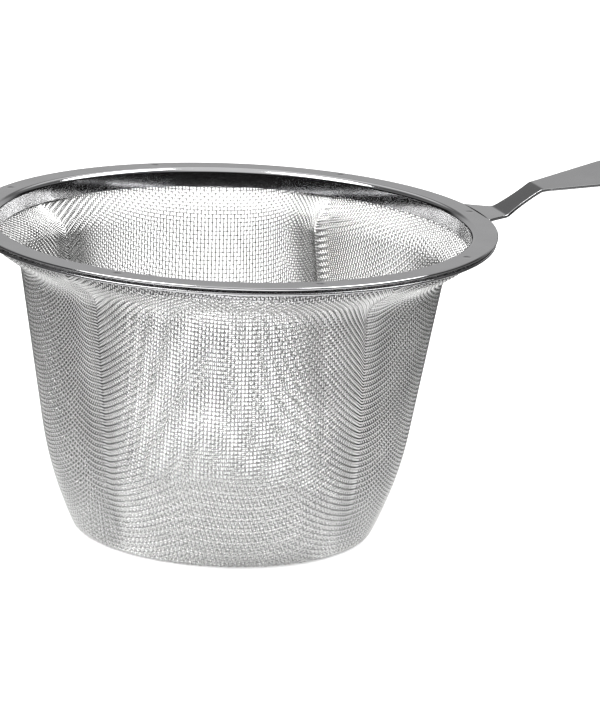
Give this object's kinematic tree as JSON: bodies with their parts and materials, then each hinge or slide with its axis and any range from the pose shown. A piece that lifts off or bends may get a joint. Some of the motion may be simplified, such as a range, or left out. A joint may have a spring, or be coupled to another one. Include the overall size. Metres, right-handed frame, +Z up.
{
  "type": "basket strainer",
  "caption": "Handheld basket strainer: woven steel wire basket with a flat base, clamped under a flat steel rim with a short raised flat handle.",
  "frame": {"origin": "centre of the basket's flat base, on the plane the strainer stands on", "axes": "+X along the handle, away from the basket; +Z up, out of the basket's mouth; +Y completes the right-handed frame"},
  "size_m": [0.122, 0.088, 0.0597],
  "materials": {
    "rim_steel": "bright polished stainless sheet",
    "ring_steel": "satin stainless sheet",
    "weld_steel": "fused metal",
    "cloth_steel": "bright stainless wire cloth"
  },
  "bodies": {
    "root": {"rim_plate": "rim_steel", "under_ring": "ring_steel", "spot_welds": "weld_steel", "mesh_basket": "cloth_steel"}
  },
  "joints": []
}
